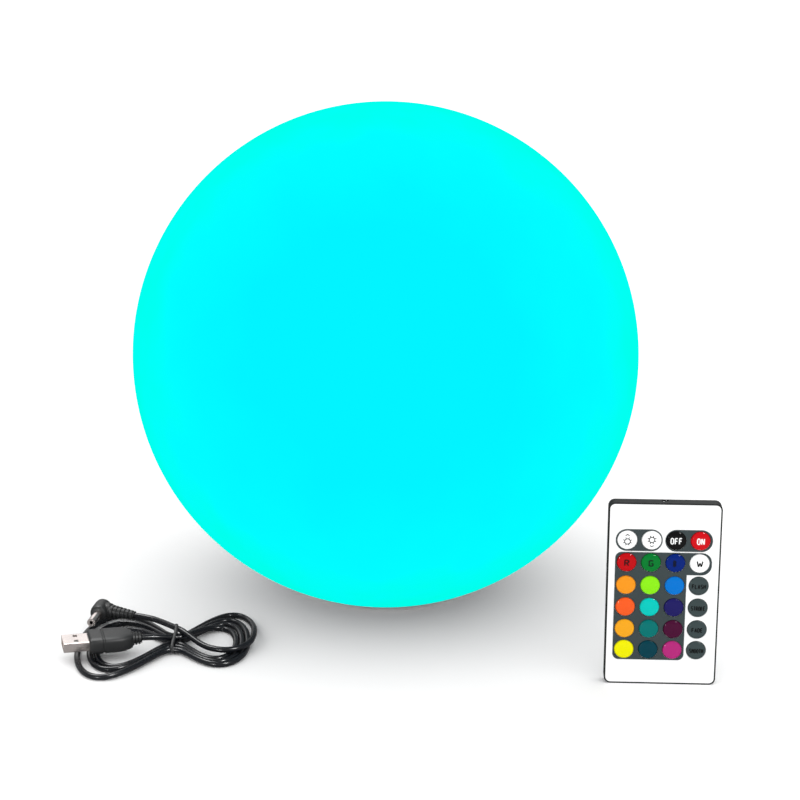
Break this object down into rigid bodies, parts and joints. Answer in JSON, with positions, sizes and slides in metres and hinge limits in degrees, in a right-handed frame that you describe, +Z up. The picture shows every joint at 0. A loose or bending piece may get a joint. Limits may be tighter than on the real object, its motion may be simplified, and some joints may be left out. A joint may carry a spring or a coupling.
{
  "type": "floating pool light",
  "caption": "Glowing floating ball light with a screw-out base, its charging lead tied in a hank and its infrared key remote.",
  "frame": {"origin": "centre of the ball's flat foot, on the surface that the whole set stands on", "axes": "+Z up through the ball's centre and along its base thread; -Y towards the side that the remote's keys face"},
  "size_m": [0.2998, 0.2577, 0.2441],
  "materials": {
    "glowing_shell": "satin translucent polyethylene, lit cyan",
    "white_abs": "satin moulded",
    "black_rubber": "matte",
    "grey_silicone": "matte",
    "cast_ballast": "painted casting",
    "screw_steel": "zinc plated",
    "plug_steel": "bright nickel plated",
    "board_green": "solder mask",
    "board_white": "white solder mask",
    "chip_phosphor": "clear window over dies",
    "cell_wrap": "heat shrink sleeve",
    "clear_lens": "clear acrylic",
    "smoked_lens": "infrared window",
    "black_plastic": "fine spark texture",
    "wire_red": "pvc sleeve",
    "lead_pvc": "satin pvc",
    "tie_plastic": "matte",
    "tongue_white": "matte",
    "case_charcoal": "fine spark texture",
    "face_white": "smooth satin",
    "panel_slate": "printed",
    "snap_steel": "stamped",
    "key_brighter_gloss": "glossy domed",
    "key_dimmer_gloss": "glossy domed",
    "key_off_gloss": "glossy domed",
    "key_on_gloss": "glossy domed",
    "key_red_gloss": "glossy domed",
    "key_green_gloss": "glossy domed",
    "key_blue_gloss": "glossy domed",
    "key_white_gloss": "glossy domed",
    "key_orange_gloss": "glossy domed",
    "key_lime_gloss": "glossy domed",
    "key_azure_gloss": "glossy domed",
    "key_flash_gloss": "glossy domed",
    "key_vermilion_gloss": "glossy domed",
    "key_turquoise_gloss": "glossy domed",
    "key_navy_gloss": "glossy domed",
    "key_strobe_gloss": "glossy domed",
    "key_amber_gloss": "glossy domed",
    "key_teal_gloss": "glossy domed",
    "key_plum_gloss": "glossy domed",
    "key_fade_gloss": "glossy domed",
    "key_yellow_gloss": "glossy domed",
    "key_petrol_gloss": "glossy domed",
    "key_magenta_gloss": "glossy domed",
    "key_smooth_gloss": "glossy domed"
  },
  "bodies": {
    "base": {"base_cap": "white_abs", "ballast_ring": "cast_ballast", "power_switch": "black_plastic", "dc_jack": "black_plastic", "indicator_lens": "clear_lens", "control_board": "board_green", "case_screws": "screw_steel", "core_tube": "white_abs", "battery_cells": "cell_wrap", "led_board": "board_white", "led_chips": "chip_phosphor", "ir_receiver": "smoked_lens", "dome_seal": "grey_silicone", "lens_dome": "clear_lens", "wire_loom": "wire_red"},
    "seal": {"seal_ring": "grey_silicone"},
    "shell": {"ball_shell": "glowing_shell"},
    "power_button": {"power_button": "grey_silicone"},
    "port_cover": {"port_cover": "grey_silicone"},
    "cable": {"usb_shell": "plug_steel", "usb_tongue": "tongue_white", "usb_overmould": "black_plastic", "usb_lead": "lead_pvc", "lead_hank": "lead_pvc", "dc_lead": "lead_pvc", "cable_tie": "tie_plastic", "dc_plug_body": "black_plastic", "dc_barrel": "plug_steel"},
    "remote": {"remote_back": "case_charcoal", "remote_front": "face_white", "key_panels": "panel_slate", "remote_board": "board_green", "snap_domes": "snap_steel", "ir_led": "clear_lens"},
    "battery_tray": {"battery_tray": "case_charcoal", "coin_cell": "screw_steel"},
    "key_brighter": {"key_brighter": "key_brighter_gloss"},
    "key_dimmer": {"key_dimmer": "key_dimmer_gloss"},
    "key_off": {"key_off": "key_off_gloss"},
    "key_on": {"key_on": "key_on_gloss"},
    "key_red": {"key_red": "key_red_gloss"},
    "key_green": {"key_green": "key_green_gloss"},
    "key_blue": {"key_blue": "key_blue_gloss"},
    "key_white": {"key_white": "key_white_gloss"},
    "key_orange": {"key_orange": "key_orange_gloss"},
    "key_lime": {"key_lime": "key_lime_gloss"},
    "key_azure": {"key_azure": "key_azure_gloss"},
    "key_flash": {"key_flash": "key_flash_gloss"},
    "key_vermilion": {"key_vermilion": "key_vermilion_gloss"},
    "key_turquoise": {"key_turquoise": "key_turquoise_gloss"},
    "key_navy": {"key_navy": "key_navy_gloss"},
    "key_strobe": {"key_strobe": "key_strobe_gloss"},
    "key_amber": {"key_amber": "key_amber_gloss"},
    "key_teal": {"key_teal": "key_teal_gloss"},
    "key_plum": {"key_plum": "key_plum_gloss"},
    "key_fade": {"key_fade": "key_fade_gloss"},
    "key_yellow": {"key_yellow": "key_yellow_gloss"},
    "key_petrol": {"key_petrol": "key_petrol_gloss"},
    "key_magenta": {"key_magenta": "key_magenta_gloss"},
    "key_smooth": {"key_smooth": "key_smooth_gloss"}
  },
  "joints": [
    {"name": "shell_lift", "type": "slide", "parent": "base", "child": "seal", "axis": [0, 0, 1], "range_m": [0, 0.0121]},
    {"name": "shell_turn", "type": "hinge", "parent": "seal", "child": "shell", "pos_m": [0, 0, 0], "axis": [0, 0, 1], "range_deg": [0, 1080]},
    {"name": "power_press", "type": "slide", "parent": "base", "child": "power_button", "axis": [0, 0, 1], "range_m": [0, 0.0012], "stiffness_N_per_m": 500, "springref_m": -0.002},
    {"name": "port_cover_hinge", "type": "hinge", "parent": "base", "child": "port_cover", "pos_m": [-0.013, 0.014, 0.0012], "axis": [1, 0, 0], "range_deg": [0, 95]},
    {"name": "cable_slide", "type": "slide", "parent": "base", "child": "cable", "axis": [-0.7433, -0.669, 0], "range_m": [0, 0.12]},
    {"name": "remote_lift", "type": "slide", "parent": "base", "child": "remote", "axis": [0, 0, 1], "range_m": [0, 0.15]},
    {"name": "battery_tray_pull", "type": "slide", "parent": "remote", "child": "battery_tray", "axis": [0, 0, -1], "range_m": [0, 0.027]},
    {"name": "key_brighter_press", "type": "slide", "parent": "remote", "child": "key_brighter", "axis": [0.0523, 0.9986, 0], "range_m": [0, 0.0004], "stiffness_N_per_m": 400, "springref_m": -0.001},
    {"name": "key_dimmer_press", "type": "slide", "parent": "remote", "child": "key_dimmer", "axis": [0.0523, 0.9986, 0], "range_m": [0, 0.0004], "stiffness_N_per_m": 400, "springref_m": -0.001},
    {"name": "key_off_press", "type": "slide", "parent": "remote", "child": "key_off", "axis": [0.0523, 0.9986, 0], "range_m": [0, 0.0004], "stiffness_N_per_m": 400, "springref_m": -0.001},
    {"name": "key_on_press", "type": "slide", "parent": "remote", "child": "key_on", "axis": [0.0523, 0.9986, 0], "range_m": [0, 0.0004], "stiffness_N_per_m": 400, "springref_m": -0.001},
    {"name": "key_red_press", "type": "slide", "parent": "remote", "child": "key_red", "axis": [0.0523, 0.9986, 0], "range_m": [0, 0.0004], "stiffness_N_per_m": 400, "springref_m": -0.001},
    {"name": "key_green_press", "type": "slide", "parent": "remote", "child": "key_green", "axis": [0.0523, 0.9986, 0], "range_m": [0, 0.0004], "stiffness_N_per_m": 400, "springref_m": -0.001},
    {"name": "key_blue_press", "type": "slide", "parent": "remote", "child": "key_blue", "axis": [0.0523, 0.9986, 0], "range_m": [0, 0.0004], "stiffness_N_per_m": 400, "springref_m": -0.001},
    {"name": "key_white_press", "type": "slide", "parent": "remote", "child": "key_white", "axis": [0.0523, 0.9986, 0], "range_m": [0, 0.0004], "stiffness_N_per_m": 400, "springref_m": -0.001},
    {"name": "key_orange_press", "type": "slide", "parent": "remote", "child": "key_orange", "axis": [0.0523, 0.9986, 0], "range_m": [0, 0.0004], "stiffness_N_per_m": 400, "springref_m": -0.001},
    {"name": "key_lime_press", "type": "slide", "parent": "remote", "child": "key_lime", "axis": [0.0523, 0.9986, 0], "range_m": [0, 0.0004], "stiffness_N_per_m": 400, "springref_m": -0.001},
    {"name": "key_azure_press", "type": "slide", "parent": "remote", "child": "key_azure", "axis": [0.0523, 0.9986, 0], "range_m": [0, 0.0004], "stiffness_N_per_m": 400, "springref_m": -0.001},
    {"name": "key_flash_press", "type": "slide", "parent": "remote", "child": "key_flash", "axis": [0.0523, 0.9986, 0], "range_m": [0, 0.0004], "stiffness_N_per_m": 400, "springref_m": -0.001},
    {"name": "key_vermilion_press", "type": "slide", "parent": "remote", "child": "key_vermilion", "axis": [0.0523, 0.9986, 0], "range_m": [0, 0.0004], "stiffness_N_per_m": 400, "springref_m": -0.001},
    {"name": "key_turquoise_press", "type": "slide", "parent": "remote", "child": "key_turquoise", "axis": [0.0523, 0.9986, 0], "range_m": [0, 0.0004], "stiffness_N_per_m": 400, "springref_m": -0.001},
    {"name": "key_navy_press", "type": "slide", "parent": "remote", "child": "key_navy", "axis": [0.0523, 0.9986, 0], "range_m": [0, 0.0004], "stiffness_N_per_m": 400, "springref_m": -0.001},
    {"name": "key_strobe_press", "type": "slide", "parent": "remote", "child": "key_strobe", "axis": [0.0523, 0.9986, 0], "range_m": [0, 0.0004], "stiffness_N_per_m": 400, "springref_m": -0.001},
    {"name": "key_amber_press", "type": "slide", "parent": "remote", "child": "key_amber", "axis": [0.0523, 0.9986, 0], "range_m": [0, 0.0004], "stiffness_N_per_m": 400, "springref_m": -0.001},
    {"name": "key_teal_press", "type": "slide", "parent": "remote", "child": "key_teal", "axis": [0.0523, 0.9986, 0], "range_m": [0, 0.0004], "stiffness_N_per_m": 400, "springref_m": -0.001},
    {"name": "key_plum_press", "type": "slide", "parent": "remote", "child": "key_plum", "axis": [0.0523, 0.9986, 0], "range_m": [0, 0.0004], "stiffness_N_per_m": 400, "springref_m": -0.001},
    {"name": "key_fade_press", "type": "slide", "parent": "remote", "child": "key_fade", "axis": [0.0523, 0.9986, 0], "range_m": [0, 0.0004], "stiffness_N_per_m": 400, "springref_m": -0.001},
    {"name": "key_yellow_press", "type": "slide", "parent": "remote", "child": "key_yellow", "axis": [0.0523, 0.9986, 0], "range_m": [0, 0.0004], "stiffness_N_per_m": 400, "springref_m": -0.001},
    {"name": "key_petrol_press", "type": "slide", "parent": "remote", "child": "key_petrol", "axis": [0.0523, 0.9986, 0], "range_m": [0, 0.0004], "stiffness_N_per_m": 400, "springref_m": -0.001},
    {"name": "key_magenta_press", "type": "slide", "parent": "remote", "child": "key_magenta", "axis": [0.0523, 0.9986, 0], "range_m": [0, 0.0004], "stiffness_N_per_m": 400, "springref_m": -0.001},
    {"name": "key_smooth_press", "type": "slide", "parent": "remote", "child": "key_smooth", "axis": [0.0523, 0.9986, 0], "range_m": [0, 0.0004], "stiffness_N_per_m": 400, "springref_m": -0.001}
  ],
  "couplings": [
    {"joint": "shell_lift", "follows": "shell_turn", "m_per_rad": 0.00063662}
  ]
}
